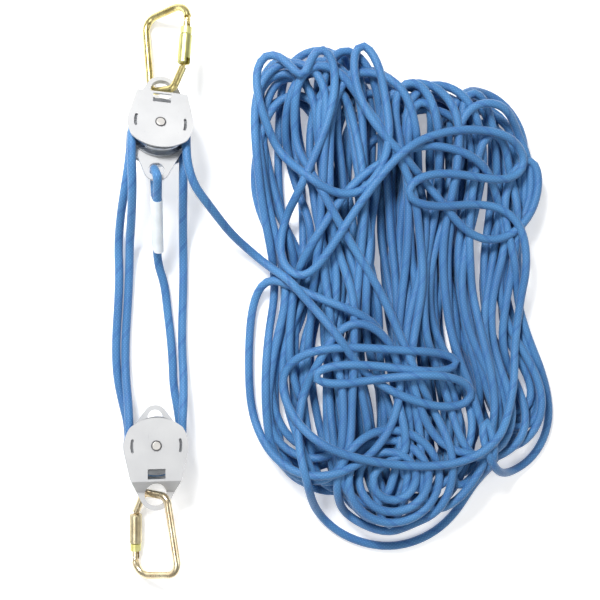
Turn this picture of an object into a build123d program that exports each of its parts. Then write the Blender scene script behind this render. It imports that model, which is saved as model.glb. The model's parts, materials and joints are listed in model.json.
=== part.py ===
"""Rigged rope pulley system: two double-sheave blocks, two locking carabiners, one rope.

It lies on a floor at z = 0.  +Y runs from the lower block to the upper one, +X to the side
where the spare rope lies, and the origin is the middle of the metal parts' footprint.
Each block is drawn in its own frame: origin on the axle at the rear plate's outer face,
+Y towards the carabiner, +Z along the axle.  A carabiner is drawn in its own plane:
origin where its bar sits in the plates' hole, +Y along it, +X towards its spine.
"""
import math
import os

from build123d import *

os.makedirs("parts", exist_ok=True)

# rope
ROPE_D = 11.0
ROPE_R = ROPE_D / 2

# block, side plates and centre plate
PLATE_T = 2.2
CENTRE_T = 2.8
SHEAVE_GAP = 20.4
REAR_IN = PLATE_T
CENTRE_LOW = REAR_IN + SHEAVE_GAP
CENTRE_TOP = CENTRE_LOW + CENTRE_T
FRONT_IN = CENTRE_TOP + SHEAVE_GAP
BLOCK_H = FRONT_IN + PLATE_T
MID_Z = (CENTRE_LOW + CENTRE_TOP) / 2
PLATE_GAP = 0.2
FOLD_Y = 44.0
TIP_Y = 58.0
HOLE_Y = 61.0
HOLE_R = 14.0
PLATE_R = 40.0
WAIST_R = 33.0
WAIST_Y = 32.0
TIP_R = 20.0
BECKET_SIDE = 35.0
SIDE_ARC_R = 50.0
BECKET_HOLE_R = 9.5
BECKET_TIP_R = 15.5
BECKET_REACH = {"top": 54.0, "bottom": 36.0}
SLOT_R = 30.5
SLOT_W = 3.5
SLOT_SPAN = 26.0
WINDOW_W = 22.0
WINDOW_H = 12.5
WINDOW_Y = 35.0

# axle, bearings and sheaves
AXLE_R = 6.0
RUN_FIT = 0.05
HEAD_R = 5.2
COLLAR_R = 6.6
COLLAR_T = 1.4
BEARING_IN_R = 8.3
BEARING_MID_R = 10.7
BEARING_OUT_R = 13.0
BALL_R = 1.15
BALLS = 12
BEARING_W = 9.0
SHEAVE_W = 18.0
SHEAVE_R = 36.5
GROOVE_R = 5.9
PITCH_R = 33.0
HUB_R = 17.0
RIM_IN_R = 25.0
WASHER_R = 10.0
WASHER_IN_R = 6.3
SHEAVE_Z = {"a": (REAR_IN + CENTRE_LOW) / 2, "b": (CENTRE_TOP + FRONT_IN) / 2}

# carabiner
BAR_R = 4.75
NOSE = (-32.0, 27.0)
HINGE = (-33.0, 86.0)
BODY_CORNERS = [(-19.0, 0.0), (18.0, 0.0), (38.0, 97.0), (-27.0, 110.0)]
BODY_RADII = [11.0, 12.0, 17.0, 19.0]
GATE_R = 4.4
TONGUE_T = 3.4
SLOT_T = 4.2
PIN_R = 1.6
SLEEVE_R = 8.0
SLEEVE_IN_R = 4.65
SLEEVE_LENGTH = 38.0
BAND_W = 9.0

# places of the two blocks: axle foot, pitch (carabiner end up is positive) and turn on the floor,
# and the move that brings the hardware's middle to the origin
MIDDLE = Pos(1.7, -15.0, 0)
TOP_FOOT = (-2.5, 204.0, 42.0)
TOP_PITCH = -24.0
TOP_TURN = -5.0
BOTTOM_FOOT = (-4.0, -182.0, 4.6)
BOTTOM_PITCH = 7.1
BOTTOM_TURN = 180.0
CARABINER_ROLL = {"top": -44.5, "bottom": 43.0}
CARABINER_PITCH = {"top": -6.2, "bottom": -5.0}
CARABINER_TURN = {"top": TOP_TURN, "bottom": BOTTOM_TURN}
SEAT_OUT = {"top": 1.0, "bottom": 0.0}
SEAT_UP = {"top": 0.5, "bottom": 0.0}

PLACE = {
    "top": Pos(*TOP_FOOT) * Rot(0, 0, TOP_TURN) * Rot(TOP_PITCH, 0, 0),
    "bottom": Pos(*BOTTOM_FOOT) * Rot(0, 0, BOTTOM_TURN) * Rot(BOTTOM_PITCH, 0, 0),
}


def save(name, shape):
    """Write one node's STEP file, about the middle of the hardware."""
    solids = (MIDDLE * shape).solids()
    node = Compound(solids) if len(solids) > 1 else solids[0]
    node.label = name
    export_step(node, f"parts/{name}.step")


def ring(outer, inner, height, z=0.0):
    """A flat ring standing from z upwards."""
    body = Cylinder(outer, height) - Cylinder(inner, height + 2)
    return Pos(0, 0, z + height / 2) * body


def hull_face(circles):
    """The outline round a row of circles given as (radius, y)."""
    edges = [Pos(0, y, 0) * edge for radius, y in circles for edge in Circle(radius).edges()]
    return make_hull(edges)


def prism(face, low, high):
    """A face in the XY plane as a solid between two heights."""
    return extrude(Pos(0, 0, low) * face, high - low)


# ---------------------------------------------------------------- block

def side_band(reach=90.0):
    """The rear plate's folded strip: flat, sloping in, then flat again at the centre plate."""
    rise = CENTRE_LOW - PLATE_GAP - PLATE_T
    turn = math.atan2(rise, TIP_Y - FOLD_Y)
    back = PLATE_T * math.tan(turn / 2)
    outline = [
        (-reach, 0), (FOLD_Y, 0), (TIP_Y, rise), (reach, rise),
        (reach, rise + PLATE_T), (TIP_Y - back, rise + PLATE_T),
        (FOLD_Y - back, PLATE_T), (-reach, PLATE_T),
    ]
    profile = Plane.YZ * make_face(Polyline(*outline, close=True))
    return Pos(-reach / 2, 0, 0) * extrude(profile, reach)


def plate_outline():
    return hull_face([(PLATE_R, 0), (WAIST_R, WAIST_Y), (TIP_R, HOLE_Y)])


def carabiner_hole():
    return Pos(0, HOLE_Y, MID_Z) * Cylinder(HOLE_R, 2 * BLOCK_H)


def rear_plate():
    """Side plate: folded sheet with two curved slots, a window and the carabiner hole."""
    outline = prism(plate_outline(), -5, BLOCK_H)
    rounded = Pos(0, SIDE_ARC_R - BECKET_SIDE, 0) * Cylinder(SIDE_ARC_R, 4 * BLOCK_H)
    wide = outline & (rounded + Pos(0, 60, 0) * Box(120, 90, 4 * BLOCK_H))
    plate = side_band() & wide
    arc = CenterArc((0, 0), SLOT_R, -SLOT_SPAN / 2, SLOT_SPAN)
    slot = prism(SlotArc(arc, SLOT_W), -5, 5)
    plate -= slot
    plate -= Rot(0, 0, 180) * slot
    plate -= Pos(0, WINDOW_Y, 0) * Box(WINDOW_W, WINDOW_H, 10)
    plate -= Cylinder(AXLE_R + RUN_FIT, 10)
    return plate - carabiner_hole()


def front_plate():
    """The rear plate turned over about the block's middle plane."""
    return mirror(rear_plate(), about=Plane.XY.offset(MID_Z))


def centre_plate(reach):
    """Flat plate between the sheaves, with the becket tongue on the side away from the carabiner."""
    outline = hull_face([(PLATE_R - 3, 0), (TIP_R, HOLE_Y), (BECKET_TIP_R, -reach)])
    plate = prism(outline, CENTRE_LOW, CENTRE_TOP)
    plate -= Cylinder(AXLE_R + RUN_FIT, 4 * BLOCK_H)
    plate -= Pos(0, -reach, MID_Z) * Cylinder(BECKET_HOLE_R, 20)
    return plate - carabiner_hole()


def axle():
    """Solid axle with a low rounded head outside the front plate."""
    pin = Pos(0, 0, (BLOCK_H - 1) / 2) * Cylinder(AXLE_R, BLOCK_H + 1)
    head = Pos(0, 0, BLOCK_H + 0.6) * Cylinder(HEAD_R, 1.2)
    return pin + fillet(head.edges().sort_by(Axis.Z)[-1:], 0.6)


def axle_collar():
    """Raised ring pressed on the axle's head, outside the front plate."""
    return ring(COLLAR_R, HEAD_R + RUN_FIT, COLLAR_T - 0.6, BLOCK_H)


def thrust_washers():
    """Four thin washers, one on each side of each sheave."""
    thick = (SHEAVE_GAP - SHEAVE_W) / 2 - 0.2
    lows = [REAR_IN + 0.1, CENTRE_LOW - thick - 0.1, CENTRE_TOP + 0.1, FRONT_IN - thick - 0.1]
    return Compound(children=[ring(WASHER_R, WASHER_IN_R, thick, low) for low in lows])


def sheave():
    """Grooved wheel centred on z = 0: rim, web and hub, bored for its bearing."""
    wheel = Cylinder(SHEAVE_R, SHEAVE_W)
    wheel -= Torus(PITCH_R, GROOVE_R)
    wheel -= Cylinder(SHEAVE_R + 1, 2 * GROOVE_R) - Cylinder(PITCH_R, 2 * GROOVE_R + 1)
    recess = Cylinder(RIM_IN_R, 4) - Cylinder(HUB_R, 5)
    wheel -= Pos(0, 0, SHEAVE_W / 2) * recess
    wheel -= Pos(0, 0, -SHEAVE_W / 2) * recess
    return wheel - Cylinder(BEARING_OUT_R, SHEAVE_W + 2)


def bearing():
    """Ball bearing centred on z = 0: two races with the balls between them."""
    low = -BEARING_W / 2
    inner = ring(BEARING_IN_R, AXLE_R + RUN_FIT, BEARING_W, low)
    outer = ring(BEARING_OUT_R, BEARING_MID_R, BEARING_W, low)
    middle = (BEARING_IN_R + BEARING_MID_R) / 2
    balls = [Rot(0, 0, 360 / BALLS * i) * Pos(middle, 0, 0) * Sphere(BALL_R) for i in range(BALLS)]
    return Compound(children=[inner, outer, *balls])


# ---------------------------------------------------------------- carabiner

def bar(path, radius):
    """A round bar or tube of rope along a path."""
    return sweep(Plane(origin=path @ 0, z_dir=path % 0) * Circle(radius), path=path)


def carabiner_body():
    """Bent steel bar from the nose round the seat, spine and wide end to the gate's hinge."""
    points = [NOSE, *BODY_CORNERS, (HINGE[0], HINGE[1] + 6)]
    path = FilletPolyline(*points, radius=BODY_RADII)
    body = bar(path, BAR_R)
    body += Pos(NOSE[0], NOSE[1] + 4, 0) * Box(5, 10, TONGUE_T - 0.6)
    body += Pos(HINGE[0], HINGE[1] + 2, 0) * Box(6.0, 12, TONGUE_T)
    return body - Pos(HINGE[0], HINGE[1], 0) * Cylinder(PIN_R + RUN_FIT, 20)


def gate():
    """Round gate with a slot for the nose at one end and for the hinge tongue at the other."""
    low = NOSE[1] + 2.8
    high = HINGE[1] + 3.0
    length = high - low
    solid = Pos(NOSE[0] - 0.5, (low + high) / 2, 0) * Rot(90, 0, 0) * Cylinder(GATE_R, length)
    solid -= Pos(NOSE[0] - 0.5, low + 3.6, 0) * Box(20, 9.2, SLOT_T - 0.4)
    solid -= Pos(HINGE[0], high - 6, 0) * Box(20, 14, SLOT_T)
    bore = Pos(NOSE[0] - 0.5, HINGE[1] - 18, 0) * Rot(90, 0, 0) * Cylinder(2.3, 17)
    solid -= bore
    return solid - Pos(HINGE[0], HINGE[1], 0) * Cylinder(PIN_R, 20)


def gate_pin():
    return Pos(HINGE[0], HINGE[1], 0) * Cylinder(PIN_R, 2 * GATE_R - 0.6)


def gate_spring():
    """Small coil in the gate's bore that pushes the plunger against the hinge tongue."""
    coil = Helix(pitch=2.0, height=11.0, radius=1.7)
    wire = sweep(Plane(origin=coil @ 0, z_dir=coil % 0) * Circle(0.35), path=coil)
    return Pos(NOSE[0] - 0.5, HINGE[1] - 10.5, 0) * Rot(90, 0, 0) * wire


def gate_plunger():
    return Pos(NOSE[0] - 0.5, HINGE[1] - 7.5, 0) * Rot(90, 0, 0) * Cylinder(1.9, 4.4)


def along_gate(low, length, outer, inner):
    tube = Cylinder(outer, length) - Cylinder(inner, length + 1)
    return Pos(NOSE[0] - 0.5, low + length / 2, 0) * Rot(90, 0, 0) * tube


def locking_sleeve():
    """Barrel sleeve with a cut-out that lets the nose leave when it is turned to open."""
    low = NOSE[1] + 3.4
    sleeve = along_gate(low, SLEEVE_LENGTH, SLEEVE_R, SLEEVE_IN_R)
    ends = sleeve.edges().filter_by(GeomType.CIRCLE).filter_by(lambda e: e.radius > SLEEVE_R - 0.1)
    sleeve = chamfer(ends, 1.4)
    return sleeve - Pos(NOSE[0] - 10.5, low + 2.5, 0) * Box(20, 9, 7)


def sleeve_band():
    """Coloured ring that shows under the sleeve when the gate is locked."""
    return along_gate(NOSE[1] + 3.8 + SLEEVE_LENGTH, BAND_W, SLEEVE_R - 1.2, SLEEVE_IN_R)


CARABINER = {
    "carabiner_body": carabiner_body,
    "carabiner_gate": gate,
    "gate_hinge_pin": gate_pin,
    "gate_spring": gate_spring,
    "gate_plunger": gate_plunger,
    "locking_sleeve": locking_sleeve,
    "sleeve_band": sleeve_band,
}


def carabiner_place(side):
    """The carabiner rolled about its length so that its bar crosses the plates' hole."""
    seat = PLACE[side] * Pos(0, HOLE_Y + SEAT_OUT[side], MID_Z + SEAT_UP[side])
    lie = Rot(0, 0, CARABINER_TURN[side]) * Rot(CARABINER_PITCH[side], 0, 0)
    return Pos(*seat.position) * lie * Rot(0, CARABINER_ROLL[side] + 180, 0)


def build_block(side):
    place = PLACE[side]
    save(f"{side}_front_plate", place * front_plate())
    save(f"{side}_centre_plate", place * centre_plate(BECKET_REACH[side]))
    save(f"{side}_rear_plate", place * rear_plate())
    save(f"{side}_axle", place * axle())
    save(f"{side}_axle_collar", place * axle_collar())
    save(f"{side}_thrust_washers", place * thrust_washers())
    for letter, z in SHEAVE_Z.items():
        save(f"{side}_sheave_{letter}", place * Pos(0, 0, z) * sheave())
        save(f"{side}_bearing_{letter}", place * Pos(0, 0, z) * bearing())
    for name, make in CARABINER.items():
        save(f"{side}_{name}", carabiner_place(side) * make())


# ---------------------------------------------------------------- rope

WRAP_GAP = 0.3
EYE_LEG = 5.7
EYE_TURN = 9.6
EYE_REACH = 12.5
EYE_DROP = 58.0
EYE_YAW = 14.0
SLEEVE_START = -26.0
SLEEVE_END = -100.0
CUT_END = -72.0
SHRINK_T = 0.9

EYE_CENTRE = (0, -BECKET_REACH["top"] - EYE_REACH, MID_Z)
EYE_PLACE = PLACE["top"] * Pos(*EYE_CENTRE) * Rot(0, 0, EYE_YAW) * Rot(EYE_DROP, 0, 0)

# The four runs between the blocks and the hauling tail, from one sheave's tangent point to the
# next.  Each end's first stretch follows the groove's tangent.
RUNS = {
    "becket_to_bottom_a": [
        (9.0, 27.0, 8.0), (13.0, -9.0, 6.0), (17.0, -42.0, 6.0), (19.5, -74.0, 6.0), (20.5, -105.0, 6.0),
        (25.5, -132.9, 9.5), (29.0, -158.6, 14.2), (29.0, -180.5, 16.9),
    ],
    "bottom_a_to_top_a": [
        (-37.0, -180.5, 16.9), (-37.0, -153.7, 13.6), (-45.0, -124.5, 8.0), (-52.0, -88.3, 6.0),
        (-53.0, -46.5, 6.0), (-50.0, -1.9, 6.0), (-48.5, 37.8, 6.0), (-50.0, 75.6, 9.0),
        (-48.0, 109.8, 30.0), (-43.0, 145.8, 58.0), (-37.6, 181.0, 67.1), (-34.9, 211.9, 53.3),
    ],
    "top_a_to_bottom_b": [
        (30.8, 206.1, 53.3), (28.1, 175.2, 67.1), (29.0, 141.3, 56.0), (31.0, 106.2, 27.0),
        (33.0, 72.0, 8.0), (33.5, 31.5, 6.0), (32.0, -13.9, 6.0), (31.5, -57.6, 7.0),
        (33.0, -94.8, 15.0), (31.5, -127.3, 30.0), (29.0, -155.8, 37.2), (29.0, -177.6, 39.9),
    ],
    "bottom_b_to_top_b": [
        (-37.0, -177.6, 39.9), (-37.0, -153.0, 36.9), (-38.0, -122.7, 26.0), (-41.0, -87.4, 10.0),
        (-41.0, -46.5, 6.0), (-38.0, -1.9, 6.0), (-36.0, 39.6, 7.0), (-36.0, 77.4, 17.0),
        (-34.5, 111.6, 45.0), (-34.5, 147.6, 78.0), (-36.8, 190.4, 88.3), (-34.1, 221.3, 74.5),
    ],
    "tail": [
        (31.6, 215.5, 74.5), (28.9, 184.6, 88.3), (38.0, 148.5, 86.0), (62.0, 122.0, 66.0),
        (90.0, 92.0, 36.0), (116.0, 72.0, 14.0), (140.0, 52.0, 7.0), (160.0, 32.4, 12.0),
    ],
}

HEAP_LOW_H = 34.0
HEAP_HIGH_H = 40.0
HEAP_STEP = 0.85
HEAP_OUTLINE = [
    (110, 338), (188, 354), (259, 361), (285, 312), (298, 286), (357, 299), (435, 304), (500, 292),
    (515, 208), (510, 130), (484, 78), (487, 0), (506, -65), (545, -117), (544, -182), (474, -260),
    (383, -305), (318, -335), (246, -318), (188, -260), (138, -234), (118, -143), (123, -39),
    (146, 0), (138, 52), (116, 130), (102, 234),
]


def arc_radii(points):
    """Bend radius at each inner point: 0.45 of the shorter run over the half turn's tangent."""
    radii = []
    vectors = [Vector(*b) - Vector(*a) for a, b in zip(points, points[1:])]
    for before, after in zip(vectors, vectors[1:]):
        half = math.radians(before.get_angle(after)) / 2
        radii.append(0.45 * min(before.length, after.length) / math.tan(half))
    return radii


def rope_run(name, points):
    radii = arc_radii(points)
    path = FilletPolyline(*points, radius=radii)
    tube = bar(path, ROPE_R)
    section = math.pi * ROPE_R ** 2
    ratio = tube.volume / section / path.length
    print(name, "length", round(path.length, 1), "volume ratio", round(ratio, 4))
    print("  radii", [round(radius) for radius in radii])
    return tube


def rope_wrap():
    """The half turn of rope in a sheave's groove, on the carabiner side."""
    return Torus(PITCH_R, ROPE_R) & Pos(0, 50 + WRAP_GAP, 0) * Box(120, 100, 20)


def becket_eye():
    """The rope's end: through the becket hole, back on itself and into the shrink sleeve."""
    points = [
        (0, CUT_END, EYE_LEG), (0, -24, EYE_LEG), (0, -4, EYE_TURN - 0.2), (0, EYE_TURN, EYE_TURN),
        (0, EYE_TURN, -EYE_TURN), (0, -4, 0.2 - EYE_TURN), (0, -24, -EYE_LEG), (0, SLEEVE_END, -EYE_LEG),
    ]
    return bar(FilletPolyline(*points, radius=[40, 30, 8.5, 8.5, 30, 40]), ROPE_R)


def shrink_sleeve():
    """Thin sleeve shrunk over the eye's two legs."""
    def slab(radius):
        ends = [Pos(z, 0, 0) * edge for z in (-EYE_LEG, EYE_LEG) for edge in Circle(radius).edges()]
        return make_hull(ends)
    length = SLEEVE_START - SLEEVE_END
    shell = extrude(slab(ROPE_R + SHRINK_T), length) - extrude(slab(ROPE_R + 0.05), length)
    return Pos(0, SLEEVE_START, 0) * Rot(90, 0, 0) * Rot(0, 0, 90) * shell


def rope_heap():
    """Outer shape of the spare rope: a flat lobed pile with a smaller upper step."""
    low = extrude(make_face(Polyline(*HEAP_OUTLINE, close=True)), HEAP_LOW_H)
    centre_x = sum(x for x, y in HEAP_OUTLINE) / len(HEAP_OUTLINE)
    centre_y = sum(y for x, y in HEAP_OUTLINE) / len(HEAP_OUTLINE)
    upper = [
        (centre_x + HEAP_STEP * (x - centre_x), centre_y + HEAP_STEP * (y - centre_y))
        for x, y in HEAP_OUTLINE
    ]
    high = extrude(make_face(Polyline(*upper, close=True)), HEAP_HIGH_H, dir=(0, 0, 1))
    return low + Pos(0, 0, HEAP_LOW_H) * high


def build_rope():
    for side in PLACE:
        for letter, z in SHEAVE_Z.items():
            save(f"{side}_rope_wrap_{letter}", PLACE[side] * Pos(0, 0, z) * rope_wrap())
    save("becket_eye", EYE_PLACE * becket_eye())
    save("shrink_sleeve", EYE_PLACE * shrink_sleeve())
    eye_end = EYE_PLACE * Pos(0, SLEEVE_END, -EYE_LEG)
    beyond = EYE_PLACE * Pos(0, SLEEVE_END - 25, -EYE_LEG)
    start = [tuple(eye_end.position), tuple(beyond.position)]
    print("eye end", [[round(value, 2) for value in point] for point in start])
    for name, points in RUNS.items():
        route = start + points if name.startswith("becket") else points
        node = "rope_tail" if name == "tail" else f"rope_{name}"
        save(node, rope_run(name, route))
    save("rope_heap", rope_heap())


for side in PLACE:
    build_block(side)
build_rope()
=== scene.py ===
import json
import math

import bpy
import numpy as np
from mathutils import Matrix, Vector


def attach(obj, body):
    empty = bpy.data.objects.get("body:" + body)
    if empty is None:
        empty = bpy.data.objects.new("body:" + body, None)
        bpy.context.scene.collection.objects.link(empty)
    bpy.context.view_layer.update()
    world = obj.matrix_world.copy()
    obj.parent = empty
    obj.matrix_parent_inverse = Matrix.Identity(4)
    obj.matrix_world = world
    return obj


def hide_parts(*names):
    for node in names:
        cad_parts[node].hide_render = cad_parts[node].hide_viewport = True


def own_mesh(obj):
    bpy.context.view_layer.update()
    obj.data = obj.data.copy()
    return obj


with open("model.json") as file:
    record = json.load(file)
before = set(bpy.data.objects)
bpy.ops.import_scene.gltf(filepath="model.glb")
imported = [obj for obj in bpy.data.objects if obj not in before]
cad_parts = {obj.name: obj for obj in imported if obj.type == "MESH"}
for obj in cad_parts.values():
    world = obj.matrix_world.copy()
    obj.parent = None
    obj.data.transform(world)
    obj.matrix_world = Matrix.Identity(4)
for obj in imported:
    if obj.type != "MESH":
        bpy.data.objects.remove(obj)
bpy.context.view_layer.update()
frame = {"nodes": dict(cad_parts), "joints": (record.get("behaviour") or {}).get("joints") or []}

# Lengths are in metres, except in the pile's loops. Routes are written as in the CAD,
# before the move by MIDDLE that brings the hardware's middle to the origin.
MIDDLE = np.array([0.0017, -0.015, 0.0])
ROPE_R = 0.0055
# the radius of the rope's centre line in a sheave's groove
PITCH_R = 0.033
# the floor point that the camera and the lamps look at
FLOOR_EYE = Vector((0.188, 0.006, 0.0)) + Vector(MIDDLE)
CAMERA_D = 1.5
CAMERA_TILT = math.radians(10.5)
# the width of floor the picture takes in
VIEW_WIDTH = 0.795
FLOOR_REACH = 9.0
FLOOR_GLOW = 0.36
SKY_LIGHT = 0.25
# name, place, width and power of each lamp
LAMPS = [
    ("key", (-0.7, 1.2, 1.7), 0.6, 56),
    ("fill", (1.8, -0.4, 1.7), 1.3, 12),
    ("side", (-1.3, -1.1, 1.8), 1.0, 16),
]
# yarn spirals round the rope, their steps per metre, and the tracer's turns per metre
YARNS = 8.0
YARN_STEPS = 190.0
TRACER_TURNS = 24.0


# ------------------------------------------------------------ node material helpers

class Nodes:
    """Short calls for building one material's node tree."""

    def __init__(self, name):
        self.material = bpy.data.materials.new(name)
        self.material.use_nodes = True
        self.tree = self.material.node_tree
        self.shader = self.tree.nodes["Principled BSDF"]

    def add(self, kind, **values):
        node = self.tree.nodes.new(kind)
        for key, value in values.items():
            setattr(node, key, value)
        return node

    def link(self, a, b):
        self.tree.links.new(a, b)

    def value(self, socket, number):
        self.shader.inputs[socket].default_value = number

    def coords(self, output="Object"):
        return self.add("ShaderNodeTexCoord").outputs[output]

    def mapped(self, source, scale=(1, 1, 1), rotation=(0, 0, 0)):
        node = self.add("ShaderNodeMapping")
        node.inputs["Scale"].default_value = scale
        node.inputs["Rotation"].default_value = rotation
        self.link(source, node.inputs["Vector"])
        return node.outputs["Vector"]

    def noise(self, source, scale, detail=3.0, rough=0.5):
        node = self.add("ShaderNodeTexNoise")
        node.inputs["Scale"].default_value = scale
        node.inputs["Detail"].default_value = detail
        node.inputs["Roughness"].default_value = rough
        self.link(source, node.inputs["Vector"])
        return node.outputs["Fac"]

    def ramp(self, source, stops):
        node = self.add("ShaderNodeValToRGB")
        band = node.color_ramp
        while len(band.elements) < len(stops):
            band.elements.new(0.5)
        for element, (place, colour) in zip(band.elements, stops):
            element.position = place
            element.color = (*colour, 1.0)
        self.link(source, node.inputs["Fac"])
        return node.outputs["Color"]

    def math(self, operation, a, b=None):
        node = self.add("ShaderNodeMath", operation=operation)
        for socket, source in zip(node.inputs, (a, b)):
            if source is None:
                continue
            if isinstance(source, (int, float)):
                socket.default_value = source
            else:
                self.link(source, socket)
        return node.outputs[0]

    def mix(self, factor, a, b, blend="MIX"):
        node = self.add("ShaderNodeMix", data_type="RGBA", blend_type=blend)
        for socket, source in ((node.inputs[0], factor), (node.inputs[6], a), (node.inputs[7], b)):
            if isinstance(source, (int, float)):
                socket.default_value = source
            elif isinstance(source, tuple):
                socket.default_value = (*source, 1.0)
            else:
                self.link(source, socket)
        return node.outputs[2]

    def spread(self, source, low, high):
        node = self.add("ShaderNodeMapRange")
        node.inputs["To Min"].default_value = low
        node.inputs["To Max"].default_value = high
        self.link(source, node.inputs["Value"])
        return node.outputs["Result"]

    def bump(self, height, strength, distance):
        node = self.add("ShaderNodeBump")
        node.inputs["Strength"].default_value = strength
        node.inputs["Distance"].default_value = distance
        self.link(height, node.inputs["Height"])
        self.link(node.outputs["Normal"], self.shader.inputs["Normal"])


def rope_material():
    """Kernmantle sheath: two families of yarn spirals, painted highlight flecks on the weave crests,
    painted shade in the grooves between the yarns, a tracer and a soft sheen.
    """
    m = Nodes("rope_sheath")
    uv = m.add("ShaderNodeSeparateXYZ")
    m.link(m.coords("UV"), uv.inputs[0])
    around, along = uv.outputs[0], uv.outputs[1]
    turns = m.math("MULTIPLY", around, YARNS)
    steps = m.math("MULTIPLY", along, YARN_STEPS)
    waves = []
    for operation in ("ADD", "SUBTRACT"):
        phase = m.math("MULTIPLY", m.math(operation, turns, steps), 2 * math.pi)
        waves.append(m.math("SINE", phase))
    weave = m.math("MAXIMUM", waves[0], waves[1])
    ridge = m.spread(weave, 0.35, 1.0)
    # painted highlight: a light blue is mixed in where both yarn spirals peak, standing in for light
    # caught by the weave
    crest_highlight_mask = m.math("MULTIPLY", waves[0], waves[1])
    slow = m.noise(m.coords(), 14.0, 2.0)
    base = m.ramp(slow, [(0.3, (0.036, 0.155, 0.38)), (0.7, (0.065, 0.235, 0.50))])
    painted_highlight = m.mix(m.spread(crest_highlight_mask, 0.0, 0.4), base, (0.17, 0.44, 0.74))
    winding = m.math("SUBTRACT", around, m.math("MULTIPLY", along, TRACER_TURNS))
    spiral = m.math("SINE", m.math("MULTIPLY", winding, 2 * math.pi))
    tracer = m.ramp(spiral, [(0.80, (0, 0, 0)), (0.97, (1, 1, 1))])
    marked = m.mix(tracer, painted_highlight, (0.045, 0.17, 0.42))
    # painted shade: a dark blue is mixed in where the weave is low, standing in for shade in the
    # grooves between the yarns
    colour = m.mix(m.spread(ridge, 0.55, 0.0), marked, (0.014, 0.06, 0.20))
    m.link(colour, m.shader.inputs["Base Color"])
    fuzz = m.noise(m.coords(), 2200.0, 2.0)
    m.link(m.spread(fuzz, 0.42, 0.66), m.shader.inputs["Roughness"])
    m.value("Sheen Weight", 0.25)
    m.value("Sheen Roughness", 0.4)
    m.bump(m.math("ADD", ridge, m.math("MULTIPLY", fuzz, 0.3)), 0.55, 0.0006)
    return m.material


def plate_material():
    """Pale matt sheet metal: fine grain, faint mottling and handling marks."""
    m = Nodes("pale_plate")
    place = m.coords()
    broad = m.noise(place, 22.0, 4.0)
    fine = m.noise(place, 1500.0, 2.0)
    marks = m.noise(m.mapped(place, (500, 30, 500)), 1.0, 3.0, 0.7)
    colour = m.ramp(broad, [(0.3, (0.50, 0.505, 0.515)), (0.7, (0.57, 0.575, 0.58))])
    scuffs = m.ramp(marks, [(0.66, (0, 0, 0)), (0.74, (0.5, 0.5, 0.5))])
    worn = m.mix(scuffs, colour, (0.38, 0.39, 0.41))
    m.link(worn, m.shader.inputs["Base Color"])
    m.link(m.spread(fine, 0.42, 0.6), m.shader.inputs["Roughness"])
    m.value("Metallic", 0.15)
    m.bump(fine, 0.12, 0.0001)
    return m.material


def metal_material(name, dark, light, rough=(0.2, 0.38), streak=(600, 40, 600), bump=0.15,
                   metallic=1.0):
    """Bare or plated metal with drawn streaks, patches and a fine grain."""
    m = Nodes(name)
    place = m.coords()
    patch = m.noise(place, 55.0, 4.0)
    drawn = m.noise(m.mapped(place, streak), 1.0, 3.0)
    grain = m.noise(place, 2600.0, 1.0)
    tint = m.ramp(patch, [(0.3, dark), (0.68, light)])
    line = m.mix(m.spread(drawn, 0.0, 0.35), tint, dark, "MULTIPLY")
    m.link(line, m.shader.inputs["Base Color"])
    m.link(m.spread(drawn, *rough), m.shader.inputs["Roughness"])
    m.value("Metallic", metallic)
    m.bump(m.math("ADD", drawn, grain), bump, 0.0001)
    return m.material


def plastic_material(name, colour, rough, through=0.0):
    """Clouded plastic; through is the share of light that passes under its surface."""
    m = Nodes(name)
    place = m.coords()
    cloud = m.noise(place, 60.0, 3.0)
    dull = tuple(0.88 * part for part in colour)
    m.link(m.ramp(cloud, [(0.3, dull), (0.7, colour)]), m.shader.inputs["Base Color"])
    m.link(m.spread(m.noise(place, 900.0), rough, rough + 0.15), m.shader.inputs["Roughness"])
    m.value("Subsurface Weight", through)
    m.bump(cloud, 0.3, 0.0008)
    return m.material


ROPE = rope_material()
PLATE = plate_material()
SHEAVE = metal_material("turned_alloy", (0.45, 0.47, 0.5), (0.66, 0.68, 0.7), streak=(60, 60, 900))
STEEL = metal_material("bright_steel", (0.80, 0.78, 0.75), (0.95, 0.93, 0.89),
                       rough=(0.3, 0.45), metallic=0.7)
DARK_STEEL = metal_material("dark_steel", (0.16, 0.16, 0.17), (0.30, 0.30, 0.31), rough=(0.3, 0.45))
TOP_GOLD = metal_material("zinc_gold_upper", (0.62, 0.50, 0.20), (0.86, 0.78, 0.40))
LOW_GOLD = metal_material("zinc_gold_lower", (0.74, 0.60, 0.40), (0.93, 0.86, 0.62))
TOP_SLEEVE = metal_material("sleeve_upper", (0.60, 0.58, 0.22), (0.78, 0.78, 0.38),
                            rough=(0.3, 0.5), bump=0.4)
LOW_SLEEVE = metal_material("sleeve_lower", (0.55, 0.47, 0.30), (0.82, 0.76, 0.54),
                            rough=(0.3, 0.5), bump=0.4)
BAND = metal_material("band_yellow", (0.70, 0.66, 0.20), (0.84, 0.83, 0.42),
                      rough=(0.35, 0.5), metallic=0.6)
WASHER = plastic_material("washer_acetal", (0.86, 0.86, 0.83), 0.4)
SHRINK = plastic_material("shrink_film", (0.90, 0.92, 0.94), 0.28, 0.15)


def finish_of(node):
    """The material of a CAD node, from its name."""
    side = node.split("_")[0]
    if "plate" in node:
        return PLATE
    if "collar" in node:
        return DARK_STEEL
    if "sheave" in node:
        return SHEAVE
    if "washers" in node:
        return WASHER
    if "band" in node:
        return BAND
    if "locking_sleeve" in node:
        return TOP_SLEEVE if side == "top" else LOW_SLEEVE
    if "carabiner" in node:
        return TOP_GOLD if side == "top" else LOW_GOLD
    if node == "shrink_sleeve":
        return SHRINK
    return STEEL


for node_name, node_object in frame["nodes"].items():
    for material_slot in node_object.material_slots:
        material_slot.material = finish_of(node_name)


# ------------------------------------------------------------ rope meshes

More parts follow.
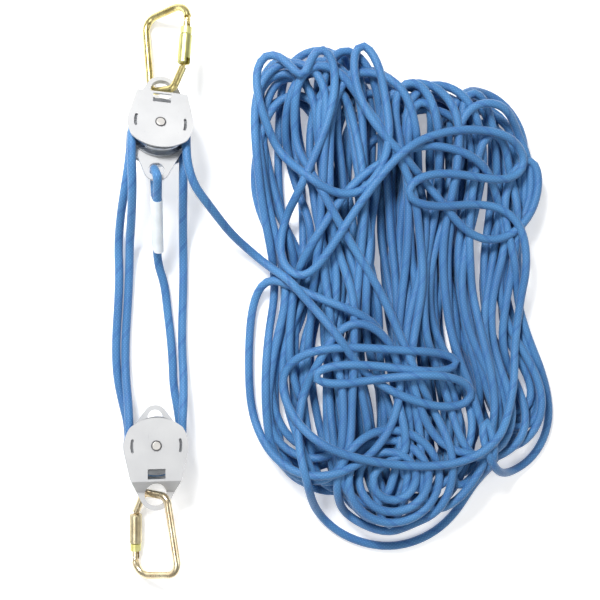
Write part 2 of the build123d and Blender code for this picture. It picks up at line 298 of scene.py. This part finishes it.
def nurbs_line(name, points, resolution=8):
    """Points along the smooth NURBS curve whose control points are the route."""
    curve = bpy.data.curves.new(name + "_line", "CURVE")
    curve.dimensions = "3D"
    curve.resolution_u = resolution
    spline = curve.splines.new("NURBS")
    spline.points.add(len(points) - 1)
    for target, point in zip(spline.points, points):
        target.co = (*(MIDDLE + point), 1.0)
    spline.order_u = 3
    spline.use_endpoint_u = True
    holder = bpy.data.objects.new(name + "_line", curve)
    bpy.context.scene.collection.objects.link(holder)
    mesh = bpy.data.meshes.new_from_object(holder)
    line = np.array([vertex.co for vertex in mesh.vertices], float)
    bpy.data.objects.remove(holder)
    bpy.data.meshes.remove(mesh)
    bpy.data.curves.remove(curve)
    return line


def even(line, step):
    """The same line with points a fixed step apart."""
    lengths = np.linalg.norm(np.diff(line, axis=0), axis=1)
    keep = np.concatenate([[True], lengths > 1e-7])
    line = line[keep]
    travel = np.concatenate([[0], np.cumsum(np.linalg.norm(np.diff(line, axis=0), axis=1))])
    count = max(2, int(round(travel[-1] / step)) + 1)
    at = np.linspace(0, travel[-1], count)
    return np.stack([np.interp(at, travel, line[:, i]) for i in range(3)], axis=1), travel[-1]


def tube(name, line, radius=ROPE_R, sides=16, step=0.003):
    """A round tube along a line, with UVs: around the rope, and metres along it."""
    centres, length = even(line, step)
    tangents = np.gradient(centres, axis=0)
    tangents /= np.linalg.norm(tangents, axis=1)[:, None]
    up = np.array([0.0, 0.0, 1.0]) if abs(tangents[0, 2]) < 0.9 else np.array([1.0, 0.0, 0.0])
    sideways = np.cross(tangents[0], up)
    frames = []
    for tangent in tangents:
        sideways = sideways - tangent * sideways.dot(tangent)
        sideways /= np.linalg.norm(sideways)
        frames.append((sideways, np.cross(tangent, sideways)))
    angles = np.linspace(0, 2 * math.pi, sides, endpoint=False)
    first = np.array([pair[0] for pair in frames])[:, None, :]
    second = np.array([pair[1] for pair in frames])[:, None, :]
    circle = np.cos(angles)[None, :, None] * first + np.sin(angles)[None, :, None] * second
    vertices = (centres[:, None, :] + radius * circle).reshape(-1, 3)
    count = len(centres)
    ring = np.arange(count - 1)[:, None] * sides
    here = np.arange(sides)[None, :]
    after = (here + 1) % sides
    corners = [ring + here, ring + after, ring + sides + after, ring + sides + here]
    quads = np.stack(corners, -1).reshape(-1, 4)
    caps = [list(range(sides))[::-1], [(count - 1) * sides + i for i in range(sides)]]
    mesh = bpy.data.meshes.new(name)
    mesh.from_pydata(vertices.tolist(), [], quads.tolist() + caps)
    layer = mesh.uv_layers.new(name="rope")
    along = np.linspace(0, length, count)
    u_low = np.broadcast_to(here / sides, (count - 1, sides))
    v_low = np.broadcast_to(along[:-1, None], (count - 1, sides))
    v_high = np.broadcast_to(along[1:, None], (count - 1, sides))
    u_high = u_low + 1 / sides
    uvs = np.stack([u_low, v_low, u_high, v_low, u_high, v_high, u_low, v_high], -1).reshape(-1)
    # the two end caps take no weave
    uvs = np.concatenate([uvs, np.zeros(4 * sides)])
    layer.data.foreach_set("uv", uvs)
    mesh.polygons.foreach_set("use_smooth", [True] * len(mesh.polygons))
    mesh.materials.append(ROPE)
    piece = bpy.data.objects.new(name, mesh)
    bpy.context.scene.collection.objects.link(piece)
    return piece, centres, length


# ------------------------------------------------------------ rope between the blocks

# Routes in metres, from one sheave's tangent point to the next.
RUNS = {
    "becket_to_bottom_a": [
        (-0.00217, 0.07408, 0.02975), (-0.00075, 0.05351, 0.01561), (0.009, 0.027, 0.008),
        (0.013, -0.009, 0.006), (0.017, -0.042, 0.006), (0.0195, -0.074, 0.006),
        (0.0205, -0.105, 0.006), (0.0255, -0.13291, 0.0095), (0.029, -0.1586, 0.0142),
        (0.029, -0.1805, 0.0169),
    ],
    "bottom_a_to_top_a": [
        (-0.037, -0.1805, 0.0169), (-0.037, -0.1537, 0.0136), (-0.045, -0.12454, 0.008),
        (-0.052, -0.08829, 0.006), (-0.053, -0.04647, 0.006), (-0.05, -0.00186, 0.006),
        (-0.0485, 0.0378, 0.006), (-0.05, 0.0756, 0.009), (-0.048, 0.1098, 0.03),
        (-0.043, 0.1458, 0.058), (-0.0376, 0.181, 0.0671), (-0.0349, 0.2119, 0.0533),
    ],
    "top_a_to_bottom_b": [
        (0.0308, 0.2061, 0.0533), (0.0281, 0.1752, 0.0671), (0.029, 0.1413, 0.056),
        (0.031, 0.1062, 0.027), (0.033, 0.072, 0.008), (0.0335, 0.0315, 0.006),
        (0.032, -0.01394, 0.006), (0.0315, -0.05762, 0.007), (0.033, -0.0948, 0.015),
        (0.0315, -0.12733, 0.03), (0.029, -0.1558, 0.0372), (0.029, -0.1776, 0.0399),
    ],
    "bottom_b_to_top_b": [
        (-0.037, -0.1776, 0.0399), (-0.037, -0.153, 0.0369), (-0.038, -0.12268, 0.026),
        (-0.041, -0.08736, 0.01), (-0.041, -0.04647, 0.006), (-0.038, -0.00186, 0.006),
        (-0.036, 0.0396, 0.007), (-0.036, 0.0774, 0.017), (-0.0345, 0.1116, 0.045),
        (-0.0345, 0.1476, 0.078), (-0.0368, 0.1904, 0.0883), (-0.0341, 0.2213, 0.0745),
    ],
}
TAIL = [
    (0.0316, 0.2155, 0.0745), (0.0289, 0.1846, 0.0883), (0.038, 0.1485, 0.086), (0.062, 0.122, 0.066),
    (0.09, 0.092, 0.036), (0.116, 0.072, 0.018), (0.14, 0.052, 0.017),
]


def build_runs(pieces_on):
    """The four runs between the sheaves, each a tube attached to the upper block. pieces_on, the
    pieces that belong to each cord, is not used.
    """
    for name, points in RUNS.items():
        piece, path, length = tube(f"rope_run_{name}", nurbs_line(name, points))
        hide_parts(f"rope_{name}")
        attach(piece, "upper_block")
        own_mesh(piece)


def joint(name):
    """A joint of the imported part, by name."""
    return next(item for item in frame["joints"] if item["name"] == name)


def build_wraps():
    """The half turn of rope in each sheave's groove, drawn about the sheave's own axis."""
    wraps = {}
    for block, side in (("upper", "top"), ("lower", "bottom")):
        for letter in "ab":
            spin = joint(f"{block}_sheave_{letter}_spin")
            centre = Vector(spin["pos_m"])
            normal = Vector(spin["axis"]).normalized()
            across = Vector((0, 0, 1)).cross(normal).normalized()
            if side == "top" and across.x > 0:
                across.negate()
            outward = normal.cross(across)
            if (outward.y > 0) != (side == "top"):
                outward.negate()
            turn = [math.pi * i / 40 for i in range(41)]
            line = [centre + PITCH_R * (math.cos(a) * across + math.sin(a) * outward) for a in turn]
            route = np.array([tuple(p) for p in line])
            piece, _, _ = tube(f"rope_wrap_{side}_{letter}", route)
            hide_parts(f"{side}_rope_wrap_{letter}")
            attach(piece, f"{block}_block")
            wraps[f"{side}_{letter}"] = piece
    return wraps


# ------------------------------------------------------------ spare rope

# The pile's sides, as (y, x), and its two ends, as (share of the width, y).
LEFT_EDGE = [
    (-0.330, 0.300), (-0.300, 0.215), (-0.260, 0.185), (-0.234, 0.145), (-0.143, 0.125),
    (-0.040, 0.128), (0.0, 0.150), (0.052, 0.145), (0.130, 0.122), (0.234, 0.110), (0.330, 0.118),
    (0.360, 0.190),
]
RIGHT_EDGE = [
    (-0.330, 0.330), (-0.305, 0.385), (-0.260, 0.465), (-0.180, 0.535), (-0.117, 0.535),
    (-0.065, 0.500), (0.0, 0.480), (0.078, 0.478), (0.130, 0.502), (0.208, 0.508), (0.292, 0.492),
    (0.310, 0.450),
]
TOP_EDGE = [
    (0, 0.325), (0.2, 0.352), (0.40, 0.356), (0.47, 0.285), (0.55, 0.312), (0.9, 0.305), (1, 0.25),
]
LOW_EDGE = [(0, -0.19), (0.2, -0.26), (0.45, -0.322), (0.62, -0.305), (0.8, -0.24), (1, -0.15)]
# legs of rope up and down the pile
BULK_LEGS = 86
# how far one leg lies from the last, as a share of the width, and the least it may be
LEG_STEP = 0.2731
TURN_SHARE = 0.13
# how far the round turn that joins two legs reaches beyond them
TURN_REACH = 0.045
LEG_POINTS = 13
BULK_SEED = 452
# the height of the rope's centre line on the floor and at the top of the pile
FLOOR_Z = 0.0057
PILE_TOP = 0.074
# the height map: its near left corner, its reach and its cell
MAP_CORNER = np.array([0.05, -0.40])
MAP_REACH = (0.55, 0.80)
CELL = 0.002
# the rope is laid in stretches of this many steps, and sinks this far into what it lies on
LAY_STEP = 0.004
STRETCH = 120
SINK = 0.002

# Long arcs over the legs, then a flat coil at the pile's foot, in millimetres like the top loops.
ARCS = [
    (190, -150), (165, -60), (180, 60), (250, 165), (340, 215), (430, 190), (470, 100), (440, 0),
    (452, -90), (480, -150), (440, -205), (360, -190), (320, -90), (345, 30), (330, 150),
    (270, 250), (215, 320), (170, 300), (175, 200), (230, 100), (290, 10), (330, -90), (372, -160),
]
COIL_MIDDLE = (298.0, -226.0)
COIL_R = (76.0, 26.0)
COIL_STRETCH = (1.15, 1.05)
COIL_TURNS = 4
COIL_POINTS = 12

# The loops that lie on top, in millimetres on the floor plan, in the order they were laid.
TOP_LOOPS = [
    (292, -26), (227, 0), (170, 20), (138, 49), (122, 5), (118, -65), (120, -143), (138, -195),
    (175, -224), (233, -218), (292, -182), (318, -104), (300, -40), (240, -10), (198, -78),
    (172, -169), (188, -247), (233, -306), (311, -331), (383, -307), (428, -247), (441, -190),
    (422, -130), (415, -182), (440, -232), (500, -231), (538, -175), (538, -120), (506, -68),
    (484, 0), (474, 65), (454, 130), (474, 190), (501, 212), (515, 176), (504, 124), (467, 84),
    (422, 78), (383, 110), (350, 160), (305, 195), (266, 234), (244, 286), (246, 335), (260, 355),
    (276, 335), (288, 280), (296, 221), (281, 156), (240, 130), (188, 156), (146, 208), (120, 273),
    (122, 322), (144, 339), (165, 312), (178, 270), (190, 286), (186, 325), (203, 344), (222, 328),
    (226, 273), (205, 208), (168, 130), (148, 50), (185, 20), (253, 130), (311, 205), (370, 229),
    (448, 231), (492, 208), (498, 176), (454, 159), (383, 174), (325, 170), (300, 140), (335, 122),
    (396, 132), (462, 136), (492, 91), (484, 0), (474, -104), (448, -175), (396, -208), (318, -211),
    (240, -195), (188, -175), (160, -130), (150, -85), (180, -57), (240, -53), (318, -60),
    (380, -62), (412, -76), (383, -92), (318, -84), (240, -74), (190, -80), (178, -96), (205, -107),
    (266, -98), (344, -88), (400, -96), (428, -118), (405, -140), (350, -134), (290, -112),
    (252, -80), (227, -40), (195, -2), (165, 32),
]


def flat_coil():
    """A flat oval coil whose turns lie side by side, wound inwards."""
    points = []
    for step in range(COIL_POINTS * COIL_TURNS):
        angle = -2 * math.pi * step / COIL_POINTS
        radius = COIL_R[0] + (COIL_R[1] - COIL_R[0]) * step / (COIL_POINTS * COIL_TURNS)
        points.append((COIL_MIDDLE[0] + COIL_STRETCH[0] * radius * math.cos(angle),
                       COIL_MIDDLE[1] + COIL_STRETCH[1] * radius * math.sin(angle)))
    return points


def edge(table, place):
    """Where the outline runs at a place, between the table's points."""
    places, values = zip(*table)
    return float(np.interp(place, places, values))


def across_at(share, y):
    """The x of a share of the pile's width, from its left side."""
    left = edge(LEFT_EDGE, y)
    right = edge(RIGHT_EDGE, y)
    return left + share * (right - left)


def folded(place):
    """A place that goes to and fro across the pile, from one side to the other."""
    place = place % 2
    return 0.02 + 0.96 * (place if place < 1 else 2 - place)


def bulk_plan():
    """Long legs up and down the pile, joined by round turns at its ends."""
    rng = np.random.default_rng(BULK_SEED)
    shares = [0.5]
    for leg in range(1, BULK_LEGS + 2):
        share = folded(0.5 + LEG_STEP * leg + rng.uniform(-0.03, 0.03))
        inwards = -1 if shares[-1] > 0.5 else 1
        apart = abs(share - shares[-1]) > TURN_SHARE
        shares.append(share if apart else shares[-1] + inwards * TURN_SHARE)
    turns = []
    for leg, (share, following) in enumerate(zip(shares, shares[1:])):
        inset = 0.008 + 0.060 * rng.random() ** 2
        middle = (share + following) / 2
        turns.append(edge(LOW_EDGE, middle) + inset if leg % 2 else edge(TOP_EDGE, middle) - inset)
    plan = []
    for leg in range(1, BULK_LEGS + 1):
        share = shares[leg]
        following = shares[leg + 1]
        margin = math.copysign(TURN_REACH, turns[leg] - turns[leg - 1])
        low = turns[leg - 1] + margin
        high = turns[leg] - margin
        lean = rng.uniform(-0.05, 0.05)
        sway = rng.uniform(-0.028, 0.028)
        phase = rng.uniform(0, math.pi)
        for t in np.linspace(0, 1, LEG_POINTS):
            here = min(0.985, max(0.015, share + lean * math.sin(math.pi * t)))
            y = low + (high - low) * t
            wave = math.sin(math.pi * t) * math.sin(2 * math.pi * t + phase)
            plan.append((across_at(here, y) + sway * wave, y))
        for angle in np.linspace(0, math.pi, 9)[1:-1]:
            here = share + (following - share) * (1 - math.cos(angle)) / 2
            y = high + margin * math.sin(angle)
            plan.append((across_at(here, y), y))
    return plan


def rounded(plan, step=0.02):
    """The same loops with evenly spaced points and their corners eased."""
    line, _ = even(np.column_stack([plan, np.zeros(len(plan))]), step)
    line = line[:, :2]
    for _ in range(4):
        line[1:-1] = (line[:-2] + 2 * line[1:-1] + line[2:]) / 4
    return [tuple(point) for point in line]


def lay_down(plan):
    """Heights for a rope laid along the plan: each stretch rests on what is already there."""
    size = tuple(int(side / CELL) for side in MAP_REACH)
    heights = np.zeros(size)
    reach = int(ROPE_R / CELL) + 1
    offsets = [(i, j) for i in range(-reach, reach + 1) for j in range(-reach, reach + 1)
               if (i * i + j * j) * CELL * CELL < ROPE_R ** 2]
    di, dj = np.array(offsets).T
    crown = np.sqrt(ROPE_R ** 2 - (di * di + dj * dj) * CELL * CELL)
    plan = np.array(plan)
    line, _ = even(np.column_stack([plan, np.zeros(len(plan))]), LAY_STEP)
    cells = ((line[:, :2] - MAP_CORNER) / CELL).astype(int)
    cells = np.clip(cells, reach, np.array(size) - reach - 1)
    z = np.zeros(len(line))
    for start in range(0, len(line), STRETCH):
        part = cells[start:start + STRETCH]
        rest = np.array([(heights[i + di, j + dj] + crown).max() for i, j in part])
        rest = np.maximum(rest, FLOOR_Z)
        # the rope is stiff, so it spans hollows and eases over what it crosses
        spread = np.array([rest[max(0, k - 5):k + 6].max() for k in range(len(rest))])
        smooth = np.array([spread[max(0, k - 6):k + 7].mean() for k in range(len(spread))])
        previous = z[start - 1] if start else smooth[0]
        blend_in = np.clip(np.arange(len(smooth)) / 12, 0, 1)
        smooth = np.maximum(smooth * blend_in + previous * (1 - blend_in), FLOOR_Z)
        z[start:start + STRETCH] = smooth
        for (i, j), height in zip(part, smooth):
            spot = heights[i + di, j + dj]
            heights[i + di, j + dj] = np.maximum(spot, height + crown - SINK)
    # the heights are scaled, so that the highest point of the line is at PILE_TOP
    z = FLOOR_Z + (z - FLOOR_Z) * (PILE_TOP - FLOOR_Z) / (z.max() - FLOOR_Z)
    travel_plan = np.concatenate([[0], np.cumsum(np.linalg.norm(np.diff(plan, axis=0), axis=1))])
    travel_line = np.linspace(0, travel_plan[-1], len(line))
    return [(x, y, float(np.interp(t, travel_line, z))) for (x, y), t in zip(plan, travel_plan)]


def build_spare():
    """The hauling tail and the whole pile as one rope, from the upper block to its far end."""
    loops = [(x / 1000, y / 1000) for x, y in ARCS + flat_coil() + TOP_LOOPS]
    laid = lay_down(rounded(bulk_plan() + loops))
    route = TAIL + laid[::-1]
    line = nurbs_line("spare", route, resolution=3)
    piece, path, length = tube("rope_spare", line, sides=12, step=0.0095)
    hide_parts("rope_tail", "rope_heap")
    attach(piece, "upper_block")


# The rope's end: from its cut through the becket hole and back to where the first run starts.
EYE = [
    (-0.00196, 0.09082, 0.05492), (-0.00332, 0.11057, 0.06849), (-0.00468, 0.13031, 0.08207),
    (-0.00524, 0.14473, 0.09641), (-0.00592, 0.15498, 0.10370), (-0.00613, 0.15636, 0.10344),
    (-0.00884, 0.16585, 0.08936), (-0.00895, 0.16558, 0.08798), (-0.00820, 0.15510, 0.08101),
    (-0.00648, 0.13661, 0.07273), (-0.00444, 0.10699, 0.05237), (-0.00217, 0.07408, 0.02975),
]


def build_eye():
    """The rope's end through the becket hole, under the shrink sleeve."""
    piece, _, _ = tube("rope_eye", nurbs_line("eye", EYE))
    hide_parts("becket_eye")
    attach(piece, "upper_block")
    return piece


wraps = build_wraps()
build_runs({
    "becket_to_bottom_a": (build_eye(), "shrink_sleeve"),
    "bottom_a_to_top_a": (wraps["bottom_a"], wraps["top_a"]),
    "top_a_to_bottom_b": (wraps["bottom_b"],),
    "bottom_b_to_top_b": (wraps["top_b"],),
})
build_spare()


# ------------------------------------------------------------ stage

def build_stage():
    """A white floor, an even white sky and three soft lamps."""
    mesh = bpy.data.meshes.new("studio_floor")
    corners = [(x * FLOOR_REACH, y * FLOOR_REACH, 0) for x, y in ((-1, -1), (1, -1), (1, 1), (-1, 1))]
    mesh.from_pydata(corners, [], [(0, 1, 2, 3)])
    floor = bpy.data.objects.new("studio_floor", mesh)
    bpy.context.scene.collection.objects.link(floor)
    m = Nodes("floor_white")
    m.value("Base Color", (0.94, 0.94, 0.94, 1))
    m.value("Roughness", 0.9)
    m.value("Emission Color", (1, 1, 1, 1))
    m.value("Emission Strength", FLOOR_GLOW)
    mesh.materials.append(m.material)
    world = bpy.data.worlds.new("studio")
    world.use_nodes = True
    sky = world.node_tree.nodes["Background"]
    sky.inputs["Color"].default_value = (1, 1, 1, 1)
    sky.inputs["Strength"].default_value = SKY_LIGHT
    bpy.context.scene.world = world
    for name, place, size, power in LAMPS:
        light = bpy.data.lights.new(name, "AREA")
        light.size = size
        light.energy = power
        lamp = bpy.data.objects.new(name, light)
        lamp.location = place
        lamp.rotation_euler = (FLOOR_EYE - Vector(place)).to_track_quat("-Z", "Y").to_euler()
        bpy.context.scene.collection.objects.link(lamp)


def build_camera():
    """The photograph's viewpoint: above the floor and a little to the left."""
    data = bpy.data.cameras.new("camera")
    data.lens = data.sensor_width * CAMERA_D / VIEW_WIDTH
    camera = bpy.data.objects.new("camera", data)
    towards = Vector((-math.sin(CAMERA_TILT), 0, math.cos(CAMERA_TILT)))
    camera.location = FLOOR_EYE + CAMERA_D * towards
    camera.rotation_euler = (0, -CAMERA_TILT, 0)
    bpy.context.scene.collection.objects.link(camera)
    bpy.context.scene.camera = camera


build_stage()
build_camera()
bpy.context.scene.view_settings.view_transform = "Standard"
